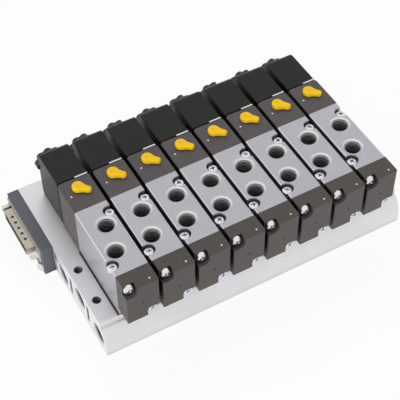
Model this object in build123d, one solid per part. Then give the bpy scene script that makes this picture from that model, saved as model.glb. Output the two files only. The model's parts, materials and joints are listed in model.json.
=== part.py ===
from build123d import *
import os

# Eight-station pneumatic valve island: an extruded base, eight 5/2 solenoid valves and a 25-way connector.
# X runs along the base from the connector end, Y from the end caps to the coils, and Z up.
# The origin is on the underside of the base, midway along it, under the valve body centre line.
# All sizes are in millimetres.

# Stations
STATIONS = 8
PITCH = 25.0
END_MARGIN = 12.5

# Manifold base section
BASE_HEIGHT = 25.75
BASE_FRONT = 36.4
BASE_REAR = 99.0
LIP_FRONT = 26.2
LIP_NOSE = 28.9
NOSE_DROP = 2.4
GROOVE_DROP = 4.6
SHOULDER_BACK = 30.2
SHOULDER_DROP = 4.9
SHOULDER_HEIGHT = 6.0
EDGE_CHAMFER = 0.8

# Air channels along the base, each tapped at both ends
CHANNEL_BORE = 12.0
END_PORT_BORE = 14.95
END_PORT_DEPTH = 13.0
END_PORT_CHAMFER = 0.9
OUTER_PORT_HEIGHT = 9.0
SUPPLY_PORT_HEIGHT = 14.6
SUPPLY_PORT_Y = 3.0
END_PORT_PITCH = 26.8
FEED_INSET = 4.5
FEED_LENGTH = 5.0
FEED_WIDTH = 8.0

# Hollows of the extrusion, between the air channels and beside the rear one
HOLLOW_WIDTH = 3.4
HOLLOW_FLOOR = 5.0
HOLLOW_ROOF = 4.75
HOLLOW_WALL = 0.5
CORNER_HOLLOW_Y = 39.4
CORNER_HOLLOW_FLOOR = 14.5

# Mounting holes through the base
MOUNT_HOLE = 6.0
MOUNT_INSET = 6.5
MOUNT_REAR_Y = 16.1
MOUNT_FRONT_Y = -11.2

# Wiring duct through the rear of the base
DUCT_INSET = 8.5
DUCT_FLOOR = 5.0
DUCT_ROOF = 5.0
BOARD_THICKNESS = 1.6
BOARD_RISE = 5.0
BOARD_SLOT = 2.0
BOARD_FIT = 0.1
SOCKET_HEIGHT = 4.0

# Valve body
VALVE_WIDTH = 22.4
BODY_HALF = 28.5
BODY_HEIGHT = 39.0
GASKET_THICKNESS = 1.0
GASKET_EDGE = 0.9
BODY_CHAMFER = 0.5
PORT_X = 2.0
PORT_Y = 10.55
PORT_BORE = 11.45
PORT_MOUTH = 13.8
PORT_DEPTH = 12.5
DRILL_Y = 12.0
DRILL_BORE = 6.0

# Spool and its bore
SPOOL_DROP = 23.0
SPOOL_RADIUS = 6.0
SPOOL_FIT = 0.05
SPOOL_NECK = 4.0
SPOOL_STROKE = 4.0
LAND_WIDTH = 3.0
INNER_LANDS = 3.0
OUTER_LANDS = 21.0
END_LAND = 4.0
CHAMBER_RADIUS = 6.3
CHAMBER_DEPTH = 4.6

# Fasteners
SCREW_SHANK = 4.0
SCREW_HEAD = 7.0
SCREW_HEAD_HEIGHT = 2.8
SCREW_HOLE = 4.3
TAPPED_FIT = 0.03
SCREW_BITE = 7.0
UPPER_CAP_SCREW = 12.0
LOWER_CAP_SCREW = 16.0
END_SCREW = 13.3
TAPPED_SPARE = 0.6

# Valve screws in their open-sided recesses
RECESS_X = 8.85
RECESS_Y = 19.85
RECESS_BORE = 8.4
RECESS_DEPTH = 4.2

# End cap
CAP_LENGTH = 13.9
CAP_HEIGHT = 32.75
CAP_WEB = 10.2
CAP_SCREW_X = -7.2
CAP_SCREW_DROP = 3.85
CAP_POCKET_RADIUS = 3.7
CAP_POCKET_WEB = 8.5
NOTCH_LEFT = 2.5
NOTCH_HEIGHT = 7.6
NOTCH_CORNER = 2.0
NOTCH_SCREW_X = 6.6
NOTCH_SCREW_RISE = 4.1

# Pilot head and manual override
PILOT_LENGTH = 26.5
PILOT_RISE = 1.5
PILOT_CORNER = 2.0
STEM_X = -2.0
STEM_DROP = 14.5
STEM_RADIUS = 4.5
STEM_FIT = 0.1
LEVER_X = -0.4
LEVER_Y = 46.0
LEVER_HUB = 4.0
LEVER_TIP = 2.0
LEVER_REACH = 7.2
LEVER_THICKNESS = 3.2
LEVER_GAP = 0.3
LEVER_NECK = 9.0
LEVER_EDGE = 1.2
DIMPLE_RADIUS = 1.6
DIMPLE_DEPTH = 0.6
LEVER_ANGLE = -45.0
PIVOT_RADIUS = 1.6
PIVOT_DEPTH = 5.0
PIVOT_FIT = 0.05

# Yoke plate between pilot head and coil
YOKE_THICKNESS = 1.0
YOKE_HALF = 10.4
YOKE_SHOULDER_DROP = 3.0
YOKE_TAB_LEFT = 1.5
YOKE_TAB_RISE = 0.5

# Coil
COIL_WIDTH = 21.6
COIL_LENGTH = 32.0
COIL_RISE = 1.5
COIL_ROUND = 5.0
COIL_EDGE = 0.8
PLUG_WIDTH = 12.0
PLUG_LENGTH = 8.0
PLUG_Y = 71.0
WINDOW_FIT = 0.6

# Coil retaining nut
NUT_RADIUS = 10.0
NUT_ROOT = 8.6
NUT_LOBES = 8
NUT_THICKNESS = 4.5
NUT_TURN = 13.0

# Connector housing and end cover
HOUSING_DEPTH = 8.1
HOUSING_FRONT = 42.0
HOUSING_WALL = 2.0
COVER_DEPTH = 3.0
COVER_SCREW_INSET = 4.5
COVER_SCREW_HEIGHT = 5.0

# 25-way connector
SHELL_Z = 17.6
SHELL_INSET = 4.04
SHELL_HEIGHT = 8.36
SHELL_SLANT = 1.5
SHELL_CORNER = 1.2
SHELL_WALL = 0.6
SHELL_REACH = 6.0
FLANGE_MARGIN = 2.98
FLANGE_HEIGHT = 12.5
FLANGE_THICKNESS = 1.0
INSERT_FIT = 0.05
INSERT_FACE = 2.0
JACK_SPACING = 47.04
JACK_ACROSS_FLATS = 4.8
JACK_REACH = 5.5
JACK_SHANK = 2.8
JACK_BORE = 2.2

# Levels and planes that follow from the sizes above
BASE_HALF = STATIONS * PITCH / 2 + END_MARGIN
BODY_BOTTOM = BASE_HEIGHT + GASKET_THICKNESS
BODY_TOP = BODY_BOTTOM + BODY_HEIGHT
SPOOL_Z = BODY_TOP - SPOOL_DROP
CAP_FACE = -BODY_HALF - CAP_LENGTH
CAP_BOTTOM = BODY_TOP - CAP_HEIGHT
PILOT_REAR = BODY_HALF + PILOT_LENGTH
PILOT_BOTTOM = BASE_HEIGHT + PILOT_RISE
COIL_FRONT = PILOT_REAR + YOKE_THICKNESS
COIL_REAR = COIL_FRONT + COIL_LENGTH
COIL_BOTTOM = BASE_HEIGHT + COIL_RISE
STEM_Z = BODY_TOP - STEM_DROP
DUCT_TOP = BASE_HEIGHT - DUCT_ROOF
BOARD_Z = DUCT_FLOOR + BOARD_RISE
SHANK_RADIUS = SCREW_SHANK / 2
TAPPED_RADIUS = SHANK_RADIUS + TAPPED_FIT
HEAD_RADIUS = SCREW_HEAD / 2
HOUSING_FACE = -BASE_HALF - HOUSING_DEPTH
LEVER_BOTTOM = BODY_TOP + LEVER_GAP
FEEDS = (FEED_INSET - BODY_HALF, 0, BODY_HALF - FEED_INSET)
SHELL_Y = (HOUSING_FRONT + BASE_REAR) / 2
DUCT = (HOUSING_FRONT + DUCT_INSET, BASE_REAR - DUCT_INSET)
END_PORTS = (
    (SUPPLY_PORT_Y - END_PORT_PITCH, OUTER_PORT_HEIGHT),
    (SUPPLY_PORT_Y, SUPPLY_PORT_HEIGHT),
    (SUPPLY_PORT_Y + END_PORT_PITCH, OUTER_PORT_HEIGHT),
)
COVER_SCREWS = (HOUSING_FRONT + COVER_SCREW_INSET, BASE_REAR - COVER_SCREW_INSET)
STATION_CENTRES = [PITCH * (n - (STATIONS - 1) / 2) for n in range(STATIONS)]

os.makedirs("parts", exist_ok=True)


def block(x_range, y_range, z_range):
    """A rectangular block between two values on each axis."""
    centre = [sum(ends) / 2 for ends in (x_range, y_range, z_range)]
    sides = [ends[1] - ends[0] for ends in (x_range, y_range, z_range)]
    return Pos(*centre) * Box(*sides)


def rod_x(x_range, y, z, radius):
    """A cylinder along X."""
    centre = Pos(sum(x_range) / 2, y, z)
    return centre * Rot(0, 90, 0) * Cylinder(radius, x_range[1] - x_range[0])


def rod_y(x, y_range, z, radius):
    """A cylinder along Y."""
    centre = Pos(x, sum(y_range) / 2, z)
    return centre * Rot(90, 0, 0) * Cylinder(radius, y_range[1] - y_range[0])


def rod_z(x, y, z_range, radius):
    """A cylinder along Z."""
    return Pos(x, y, sum(z_range) / 2) * Cylinder(radius, z_range[1] - z_range[0])


def save(node, shape):
    """Write one node to its own STEP file."""
    export_step(shape, f"parts/{node}.step")


# Manifold base


def base_profile():
    """Extrusion section: a rounded lip, a groove under it and a shoulder round the front channel."""
    lip = (-LIP_FRONT, BASE_HEIGHT)
    nose = (-LIP_NOSE, BASE_HEIGHT - NOSE_DROP)
    groove = (-LIP_NOSE, BASE_HEIGHT - GROOVE_DROP)
    shoulder = (-SHOULDER_BACK, BASE_HEIGHT - SHOULDER_DROP)
    front = (-BASE_FRONT, SHOULDER_HEIGHT)
    outline = [
        Polyline(front, (-BASE_FRONT, 0), (BASE_REAR, 0), (BASE_REAR, BASE_HEIGHT), lip),
        TangentArc(lip, nose, tangent=(-1, 0)),
        Polyline(nose, groove, shoulder),
        TangentArc(front, shoulder, tangent=(0, 1)),
    ]
    return Plane.YZ * make_face(Curve() + outline)


def end_port(end, y, z):
    """The tapping drill and mouth chamfer of one channel port; end is -1 or 1."""
    face = end * BASE_HALF
    hole = rod_x(sorted((face, face - end * END_PORT_DEPTH)), y, z, END_PORT_BORE / 2)
    mouth = Cone(END_PORT_BORE / 2, END_PORT_BORE / 2 + END_PORT_CHAMFER, END_PORT_CHAMFER)
    turned = Rot(0, end * 90, 0) * mouth
    return hole + Pos(face - end * END_PORT_CHAMFER / 2, y, z) * turned


def base_channels():
    """Three air channels with their end ports."""
    cuts = []
    for y, z in END_PORTS:
        cuts.append(rod_x((-BASE_HALF, BASE_HALF), y, z, CHANNEL_BORE / 2))
        cuts += [end_port(end, y, z) for end in (-1, 1)]
    return cuts


def extrusion_hollow(y, floor):
    """A tall narrow hollow along the whole extrusion, round at its floor and roof."""
    length = (-BASE_HALF, BASE_HALF)
    round_off = HOLLOW_WIDTH / 2
    low = floor + round_off
    high = BASE_HEIGHT - HOLLOW_ROOF - round_off
    slot = block(length, (y - round_off, y + round_off), (low, high))
    return slot + rod_x(length, y, low, round_off) + rod_x(length, y, high, round_off)


def extrusion_hollows():
    """A hollow each side of the supply channel, clear of the valve screws, and one by the rear channel."""
    rear = RECESS_Y - TAPPED_RADIUS - HOLLOW_WALL - HOLLOW_WIDTH / 2
    front = 2 * SUPPLY_PORT_Y - rear
    return [
        extrusion_hollow(rear, HOLLOW_FLOOR),
        extrusion_hollow(front, HOLLOW_FLOOR),
        extrusion_hollow(CORNER_HOLLOW_Y, CORNER_HOLLOW_FLOOR),
    ]


def wiring_duct():
    """The duct, the board slots in its side walls and a window under each coil."""
    length = (-BASE_HALF, BASE_HALF)
    duct = block(length, DUCT, (DUCT_FLOOR, DUCT_TOP))
    slot_y = (DUCT[0] - BOARD_SLOT, DUCT[1] + BOARD_SLOT)
    slots = block(length, slot_y, (BOARD_Z - BOARD_FIT, BOARD_Z + BOARD_THICKNESS + BOARD_FIT))
    half_x = PLUG_WIDTH / 2 + WINDOW_FIT
    half_y = PLUG_LENGTH / 2 + WINDOW_FIT
    window_y = (PLUG_Y - half_y, PLUG_Y + half_y)
    window_z = (BOARD_Z + SOCKET_HEIGHT, BASE_HEIGHT)
    windows = [block((x - half_x, x + half_x), window_y, window_z) for x in STATION_CENTRES]
    return [duct, slots] + windows


def station_cuts(x):
    """Feed slots up from the channels and two tapped holes for the valve screws."""
    half = FEED_WIDTH / 2
    cuts = []
    for feed, (_, channel_z) in zip(FEEDS, END_PORTS):
        feed_y = (feed - FEED_LENGTH / 2, feed + FEED_LENGTH / 2)
        cuts.append(block((x - half, x + half), feed_y, (channel_z, BASE_HEIGHT)))
    for side in (-1, 1):
        tapped = (BASE_HEIGHT - SCREW_BITE - TAPPED_SPARE, BASE_HEIGHT)
        cuts.append(rod_z(x + side * RECESS_X, side * RECESS_Y, tapped, TAPPED_RADIUS))
    return cuts


def manifold_base():
    """The extruded and machined base."""
    base = Pos(-BASE_HALF, 0, 0) * extrude(base_profile(), 2 * BASE_HALF, dir=(1, 0, 0))
    cuts = base_channels() + extrusion_hollows() + wiring_duct()
    for x in STATION_CENTRES:
        cuts += station_cuts(x)
    for end, plate in ((-1, HOUSING_DEPTH), (1, COVER_DEPTH)):
        for y in (MOUNT_FRONT_Y, MOUNT_REAR_Y):
            cuts.append(rod_z(end * (BASE_HALF - MOUNT_INSET), y, (0, BASE_HEIGHT), MOUNT_HOLE / 2))
        depth = END_SCREW - plate + TAPPED_SPARE
        for y in COVER_SCREWS:
            tapped = sorted((end * BASE_HALF, end * (BASE_HALF - depth)))
            cuts.append(rod_x(tapped, y, COVER_SCREW_HEIGHT, TAPPED_RADIUS))
    return base - cuts


# Valve


def gasket():
    """Rubber plate under a valve, wider than the body, with feed windows and screw holes."""
    half = VALVE_WIDTH / 2 + GASKET_EDGE
    level = (BASE_HEIGHT, BODY_BOTTOM)
    plate = block((-half, half), (-BODY_HALF, BODY_HALF), level)
    windows = [
        block((-FEED_WIDTH / 2, FEED_WIDTH / 2), (y - FEED_LENGTH / 2, y + FEED_LENGTH / 2), level)
        for y in FEEDS
    ]
    holes = [rod_z(side * RECESS_X, side * RECESS_Y, level, SCREW_HOLE / 2) for side in (-1, 1)]
    return plate - windows - holes


def work_port(side):
    """Tapping drill, mouth chamfer and the drilling down to the spool bore."""
    x = side * PORT_X
    y = side * PORT_Y
    flare = (PORT_MOUTH - PORT_BORE) / 2
    hole = rod_z(x, y, (BODY_TOP - PORT_DEPTH, BODY_TOP), PORT_BORE / 2)
    mouth = Pos(x, y, BODY_TOP - flare / 2) * Cone(PORT_BORE / 2, PORT_MOUTH / 2, flare)
    drilling = rod_z(0, side * DRILL_Y, (SPOOL_Z, BODY_TOP - PORT_DEPTH), DRILL_BORE / 2)
    return hole + mouth + drilling


def valve_body():
    """Die-cast body with the spool bore, work ports, feed passages and open-sided screw recesses."""
    half = VALVE_WIDTH / 2
    body = block((-half, half), (-BODY_HALF, BODY_HALF), (BODY_BOTTOM, BODY_TOP))
    body = chamfer(body.edges().group_by(Axis.Z)[-1].filter_by(Axis.Y), BODY_CHAMFER)
    cuts = [rod_y(0, (-BODY_HALF, BODY_HALF), SPOOL_Z, SPOOL_RADIUS + SPOOL_FIT)]
    for y in FEEDS:
        feed_y = (y - FEED_LENGTH / 2, y + FEED_LENGTH / 2)
        cuts.append(block((-DRILL_BORE / 2, DRILL_BORE / 2), feed_y, (BODY_BOTTOM, SPOOL_Z)))
    for side in (-1, 1):
        x = side * RECESS_X
        y = side * RECESS_Y
        seat = BODY_TOP - RECESS_DEPTH
        edge = sorted((x, side * half))
        recess = (y - RECESS_BORE / 2, y + RECESS_BORE / 2)
        cuts.append(work_port(side))
        cuts.append(rod_z(x, y, (seat, BODY_TOP), RECESS_BORE / 2))
        cuts.append(block(edge, recess, (seat, BODY_TOP)))
        cuts.append(rod_z(x, y, (BODY_BOTTOM, seat), SCREW_HOLE / 2))
    for x, z, web, length in cap_screw_places():
        depth = length - web + TAPPED_SPARE
        cuts.append(rod_y(x, (-BODY_HALF, -BODY_HALF + depth), z, TAPPED_RADIUS))
    return body - cuts


def cap_screw_places():
    """X, Z, the cap's thickness under the head and the shank's length, for the two end cap screws."""
    upper = (CAP_SCREW_X, BODY_TOP - CAP_SCREW_DROP, CAP_POCKET_WEB, UPPER_CAP_SCREW)
    lower = (NOTCH_SCREW_X, CAP_BOTTOM + NOTCH_SCREW_RISE, CAP_WEB, LOWER_CAP_SCREW)
    return upper, lower


def spool():
    """Turned spool: six lands on a neck, drawn at the end of its stroke nearest the pilot head."""
    middle = SPOOL_STROKE / 2
    front = -BODY_HALF
    rear = BODY_HALF + SPOOL_STROKE
    stick = rod_y(0, (front, rear), SPOOL_Z, SPOOL_NECK)
    lands = [(front, front + END_LAND), (rear - END_LAND - SPOOL_STROKE, rear)]
    for offset in (-OUTER_LANDS, -INNER_LANDS, INNER_LANDS, OUTER_LANDS):
        lands.append((middle + offset - LAND_WIDTH / 2, middle + offset + LAND_WIDTH / 2))
    for ends in lands:
        stick += rod_y(0, ends, SPOOL_Z, SPOOL_RADIUS)
    return stick


def end_cap():
    """Moulded cap with a pocket in its top left corner, a notch in its foot and an air chamber."""
    half = VALVE_WIDTH / 2
    cap = block((-half, half), (CAP_FACE, -BODY_HALF), (CAP_BOTTOM, BODY_TOP))
    cap = fillet(cap.edges().group_by(Axis.Y)[0], EDGE_CHAMFER)
    (pocket_x, pocket_z, _, _), (notch_x, notch_z, _, _) = cap_screw_places()
    pocket = (CAP_FACE, CAP_FACE + CAP_LENGTH - CAP_POCKET_WEB)
    cuts = [
        rod_y(pocket_x, pocket, pocket_z, CAP_POCKET_RADIUS),
        block((-half, pocket_x), pocket, (pocket_z - CAP_POCKET_RADIUS, BODY_TOP)),
        block((pocket_x, pocket_x + CAP_POCKET_RADIUS), pocket, (pocket_z, BODY_TOP)),
        rod_y(0, (-BODY_HALF - CHAMBER_DEPTH, -BODY_HALF), SPOOL_Z, CHAMBER_RADIUS),
    ]
    notch_y = (CAP_FACE, -BODY_HALF - CAP_WEB)
    notch = block((NOTCH_LEFT, half), notch_y, (CAP_BOTTOM, CAP_BOTTOM + NOTCH_HEIGHT))
    inner = notch.edges().filter_by(Axis.Y).sort_by(Axis.X)[:2].sort_by(Axis.Z)[-1]
    cuts.append(fillet(inner, NOTCH_CORNER))
    cuts.append(rod_y(pocket_x, (CAP_FACE, -BODY_HALF), pocket_z, SCREW_HOLE / 2))
    cuts.append(rod_y(notch_x, (CAP_FACE, -BODY_HALF), notch_z, SCREW_HOLE / 2))
    return cap - cuts


def pilot_head():
    """Moulded pilot head with the core stem that carries the coil, and the override's pivot hole."""
    half = VALVE_WIDTH / 2
    head = block((-half, half), (BODY_HALF, PILOT_REAR), (PILOT_BOTTOM, BODY_TOP))
    head = fillet(head.edges().group_by(Axis.Y)[-1].filter_by(Axis.Z), PILOT_CORNER)
    stem_end = COIL_REAR + NUT_THICKNESS
    head += rod_y(STEM_X, (PILOT_REAR, stem_end), STEM_Z, STEM_RADIUS)
    chamber = rod_y(0, (BODY_HALF, BODY_HALF + CHAMBER_DEPTH), SPOOL_Z, CHAMBER_RADIUS)
    pivot_z = (BODY_TOP - PIVOT_DEPTH - LEVER_GAP, BODY_TOP)
    pivot = rod_z(LEVER_X, LEVER_Y, pivot_z, PIVOT_RADIUS + PIVOT_FIT)
    return head - chamber - pivot


def lever_outline():
    """A round hub and a round tip, joined by hollow flanks that touch both circles."""
    tip = Vector(LEVER_REACH, 0)
    from_hub = LEVER_HUB + LEVER_NECK
    from_tip = LEVER_TIP + LEVER_NECK
    along = (from_hub**2 - from_tip**2 + LEVER_REACH**2) / (2 * LEVER_REACH)
    centre = Vector(along, (from_hub**2 - along**2) ** 0.5)
    hub_end = centre * (LEVER_HUB / from_hub)
    tip_end = tip + (centre - tip) * (LEVER_TIP / from_tip)
    waist = centre + ((hub_end + tip_end) / 2 - centre).normalized() * LEVER_NECK
    flank = ThreePointArc(hub_end, waist, tip_end)
    hub = ThreePointArc(hub_end, (-LEVER_HUB, 0), (hub_end.X, -hub_end.Y))
    nose = ThreePointArc(tip_end, (LEVER_REACH + LEVER_TIP, 0), (tip_end.X, -tip_end.Y))
    return make_face([hub, flank, nose, mirror(flank, about=Plane.XZ)])


def override_lever():
    """Lever with a dimple over its round pivot pin."""
    blade = extrude(lever_outline(), LEVER_THICKNESS)
    blade = fillet(blade.edges().group_by(Axis.Z)[-1], LEVER_EDGE)
    blade -= Pos(0, 0, LEVER_THICKNESS + DIMPLE_RADIUS - DIMPLE_DEPTH) * Sphere(DIMPLE_RADIUS)
    blade = Pos(LEVER_X, LEVER_Y, LEVER_BOTTOM) * Rot(0, 0, LEVER_ANGLE) * blade
    return blade + rod_z(LEVER_X, LEVER_Y, (BODY_TOP - PIVOT_DEPTH, LEVER_BOTTOM), PIVOT_RADIUS)


def yoke_plate():
    """Steel plate behind the pilot head, with a tab that shows above it."""
    shoulder = BODY_TOP - YOKE_SHOULDER_DROP
    depth = (PILOT_REAR, COIL_FRONT)
    plate = block((-YOKE_HALF, YOKE_HALF), depth, (COIL_BOTTOM, shoulder))
    plate += block((YOKE_TAB_LEFT, YOKE_HALF), depth, (shoulder, BODY_TOP + YOKE_TAB_RISE))
    return plate - rod_y(STEM_X, depth, STEM_Z, STEM_RADIUS + STEM_FIT)


def coil():
    """Encapsulated coil, rounded over its rear top edge, with its plug down into the base."""
    half = COIL_WIDTH / 2
    body = block((-half, half), (COIL_FRONT, COIL_REAR), (COIL_BOTTOM, BODY_TOP))
    rear = body.edges().group_by(Axis.Y)[-1]
    body = fillet(rear.filter_by(Axis.X).sort_by(Axis.Z)[-1], COIL_ROUND)
    body = fillet(body.edges().filter_by(Axis.Z).group_by(Axis.Y)[-1], COIL_EDGE)
    plug_y = (PLUG_Y - PLUG_LENGTH / 2, PLUG_Y + PLUG_LENGTH / 2)
    socket_top = BOARD_Z + BOARD_THICKNESS + SOCKET_HEIGHT
    body += block((-PLUG_WIDTH / 2, PLUG_WIDTH / 2), plug_y, (socket_top, COIL_BOTTOM))
    return body - rod_y(STEM_X, (COIL_FRONT, COIL_REAR), STEM_Z, STEM_RADIUS + STEM_FIT)


def coil_nut(turn):
    """Lobed plastic nut on the end of the core stem."""
    bump = (NUT_RADIUS - NUT_ROOT) * 2
    disc = rod_y(STEM_X, (COIL_REAR, COIL_REAR + NUT_THICKNESS), STEM_Z, NUT_ROOT)
    for n in range(NUT_LOBES):
        arm = Vector(0, 0, NUT_RADIUS - bump).rotate(Axis.Y, turn + n * 360 / NUT_LOBES)
        disc += rod_y(STEM_X + arm.X, (COIL_REAR, COIL_REAR + NUT_THICKNESS), STEM_Z + arm.Z, bump)
    return disc - rod_y(STEM_X, (COIL_REAR, COIL_REAR + NUT_THICKNESS), STEM_Z, STEM_RADIUS + STEM_FIT)


# Fasteners


def valve_screw(side):
    """Long screw down through a valve body into the base."""
    x = side * RECESS_X
    y = side * RECESS_Y
    seat = BODY_TOP - RECESS_DEPTH
    shank = rod_z(x, y, (BASE_HEIGHT - SCREW_BITE, seat), SHANK_RADIUS)
    return shank + rod_z(x, y, (seat, seat + SCREW_HEAD_HEIGHT), HEAD_RADIUS)


def cap_screw(x, z, web, length):
    """Screw along Y through an end cap's web."""
    seat = -BODY_HALF - web
    shank = rod_y(x, (seat, seat + length), z, SHANK_RADIUS)
    return shank + rod_y(x, (seat - SCREW_HEAD_HEIGHT, seat), z, HEAD_RADIUS)


def end_screw(end, depth, y):
    """Screw along X that holds the connector housing or the end cover; end is -1 or 1."""
    face = BASE_HALF + depth
    shank = sorted((end * (face - END_SCREW), end * face))
    head = sorted((end * face, end * (face + SCREW_HEAD_HEIGHT)))
    screw = rod_x(shank, y, COVER_SCREW_HEIGHT, SHANK_RADIUS)
    return screw + rod_x(head, y, COVER_SCREW_HEIGHT, HEAD_RADIUS)


# Electrical end


def connector_housing():
    """Plastic box that closes the duct and carries the 25-way connector."""
    outer = block((HOUSING_FACE, -BASE_HALF), (HOUSING_FRONT, BASE_REAR), (0, BASE_HEIGHT))
    outer = fillet(outer.edges().group_by(Axis.X)[0].filter_by(Axis.Z), EDGE_CHAMFER)
    room_x = (HOUSING_FACE + HOUSING_WALL, -BASE_HALF)
    room = block(room_x, DUCT, (DUCT_FLOOR, BASE_HEIGHT - HOUSING_WALL))
    window = extrude(shell_outline(0), HOUSING_DEPTH)
    cuts = [room, Pos(HOUSING_FACE, 0, 0) * window]
    for y in COVER_SCREWS:
        cuts.append(rod_x((HOUSING_FACE, -BASE_HALF), y, COVER_SCREW_HEIGHT, SCREW_HOLE / 2))
    for side in (-1, 1):
        jack = SHELL_Y + side * JACK_SPACING / 2
        cuts.append(rod_x((HOUSING_FACE, -BASE_HALF), jack, SHELL_Z, JACK_SHANK / 2 + TAPPED_FIT))
    return outer - cuts


def shell_outline(grow):
    """The connector's D outline with round corners, across X, grown all round by an offset."""
    half = JACK_SPACING / 2 - SHELL_INSET + grow
    top = SHELL_HEIGHT / 2 + grow
    points = ((-half, top), (half, top), (half - SHELL_SLANT, -top), (SHELL_SLANT - half, -top))
    outline = make_face(Polyline(*points, close=True))
    outline = fillet(outline.vertices(), SHELL_CORNER + grow)
    return Plane((0, SHELL_Y, SHELL_Z), x_dir=(0, 1, 0), z_dir=(1, 0, 0)) * outline


def dsub_shell():
    """Pressed steel flange and D-shaped shroud, open at its mouth."""
    reach = JACK_SPACING / 2 + FLANGE_MARGIN
    flange_y = (SHELL_Y - reach, SHELL_Y + reach)
    flange_z = (SHELL_Z - FLANGE_HEIGHT / 2, SHELL_Z + FLANGE_HEIGHT / 2)
    flange = block((HOUSING_FACE - FLANGE_THICKNESS, HOUSING_FACE), flange_y, flange_z)
    shroud = extrude(shell_outline(0), SHELL_REACH)
    mouth = Pos(HOUSING_FACE - FLANGE_THICKNESS - SHELL_REACH, 0, 0)
    bore = extrude(shell_outline(-SHELL_WALL), SHELL_REACH + FLANGE_THICKNESS)
    shell = flange + mouth * shroud - mouth * bore
    for side in (-1, 1):
        jack = SHELL_Y + side * JACK_SPACING / 2
        hole_x = (HOUSING_FACE - FLANGE_THICKNESS, HOUSING_FACE)
        shell -= rod_x(hole_x, jack, SHELL_Z, JACK_SHANK / 2 + TAPPED_FIT)
    return shell


def dsub_insert():
    """Moulded contact carrier, filling the foot of the shroud and reaching into the housing."""
    length = INSERT_FACE + FLANGE_THICKNESS + HOUSING_DEPTH - HOUSING_WALL
    carrier = extrude(shell_outline(-SHELL_WALL - INSERT_FIT), length)
    return Pos(HOUSING_FACE - FLANGE_THICKNESS - INSERT_FACE, 0, 0) * carrier


def jack_screw(side):
    """Hexagonal standoff with a tapped end, one each side of the shroud."""
    y = SHELL_Y + side * JACK_SPACING / 2
    seat = HOUSING_FACE - FLANGE_THICKNESS
    plane = Plane((seat - JACK_REACH, y, SHELL_Z), x_dir=(0, 1, 0), z_dir=(1, 0, 0))
    hexagon = RegularPolygon(JACK_ACROSS_FLATS / 2, 6, major_radius=False)
    standoff = extrude(plane * hexagon, JACK_REACH)
    standoff += rod_x((seat, -BASE_HALF), y, SHELL_Z, JACK_SHANK / 2)
    return standoff - rod_x((seat - JACK_REACH, seat), y, SHELL_Z, JACK_BORE / 2)


def wiring_board():
    """Circuit board in the duct's slots, with a socket under each coil plug."""
    board_y = (DUCT[0] - BOARD_SLOT + BOARD_FIT, DUCT[1] + BOARD_SLOT - BOARD_FIT)
    board = block((-BASE_HALF, BASE_HALF), board_y, (BOARD_Z, BOARD_Z + BOARD_THICKNESS))
    socket_y = (PLUG_Y - PLUG_LENGTH / 2, PLUG_Y + PLUG_LENGTH / 2)
    socket_z = (BOARD_Z + BOARD_THICKNESS, BOARD_Z + BOARD_THICKNESS + SOCKET_HEIGHT)
    for x in STATION_CENTRES:
        board += block((x - PLUG_WIDTH / 2, x + PLUG_WIDTH / 2), socket_y, socket_z)
    return board


def end_cover():
    """Flat plate that closes the far end of the duct."""
    depth = (BASE_HALF, BASE_HALF + COVER_DEPTH)
    cover = block(depth, (HOUSING_FRONT, BASE_REAR), (0, BASE_HEIGHT))
    cover = chamfer(cover.edges().group_by(Axis.X)[-1], EDGE_CHAMFER)
    holes = [rod_x(depth, y, COVER_SCREW_HEIGHT, SCREW_HOLE / 2) for y in COVER_SCREWS]
    return cover - holes


# The whole part

save("manifold_base", manifold_base())
save("connector_housing", connector_housing())
save("dsub_shell", dsub_shell())
save("dsub_insert", dsub_insert())
save("wiring_board", wiring_board())
save("end_cover", end_cover())
save("jack_screws", Compound([jack_screw(side) for side in (-1, 1)]))

valve_pieces = {
    "valve_body": valve_body(),
    "spool": spool(),
    "end_cap": end_cap(),
    "pilot_head": pilot_head(),
    "override_lever": override_lever(),
    "coil": coil(),
}
for number, x in enumerate(STATION_CENTRES, 1):
    for name, shape in valve_pieces.items():
        save(f"{name}_{number}", Pos(x, 0, 0) * shape)


def at_stations(make):
    """One compound of what make gives at each station; make takes the station's index."""
    return Compound([Pos(x, 0, 0) * make(n) for n, x in enumerate(STATION_CENTRES)])


save("station_gaskets", at_stations(lambda n: gasket()))
save("yoke_plates", at_stations(lambda n: yoke_plate()))
save("coil_nuts", at_stations(lambda n: coil_nut(n * NUT_TURN)))
save("valve_screws", Compound([at_stations(lambda n: valve_screw(side)) for side in (-1, 1)]))

cover_screws = []
for x in STATION_CENTRES:
    cover_screws += [Pos(x, 0, 0) * cap_screw(*place) for place in cap_screw_places()]
for y in COVER_SCREWS:
    cover_screws.append(end_screw(-1, HOUSING_DEPTH, y))
    cover_screws.append(end_screw(1, COVER_DEPTH, y))
save("cover_screws", Compound(cover_screws))
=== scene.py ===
# %% [markdown]
# # Dressing a pneumatic valve island
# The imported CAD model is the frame: it gives every size and place, and it moves. This script adds
# what a CAD model lacks, which is the finish of each surface and the small trim: threads, screw
# recesses, contact pins, paint dots, small marks and pressed dimples. We load the frame first,
# because each piece takes its place from it.

# %% Load the frame
import json
import math

import bmesh
import bpy
from mathutils import Matrix, Vector


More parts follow.
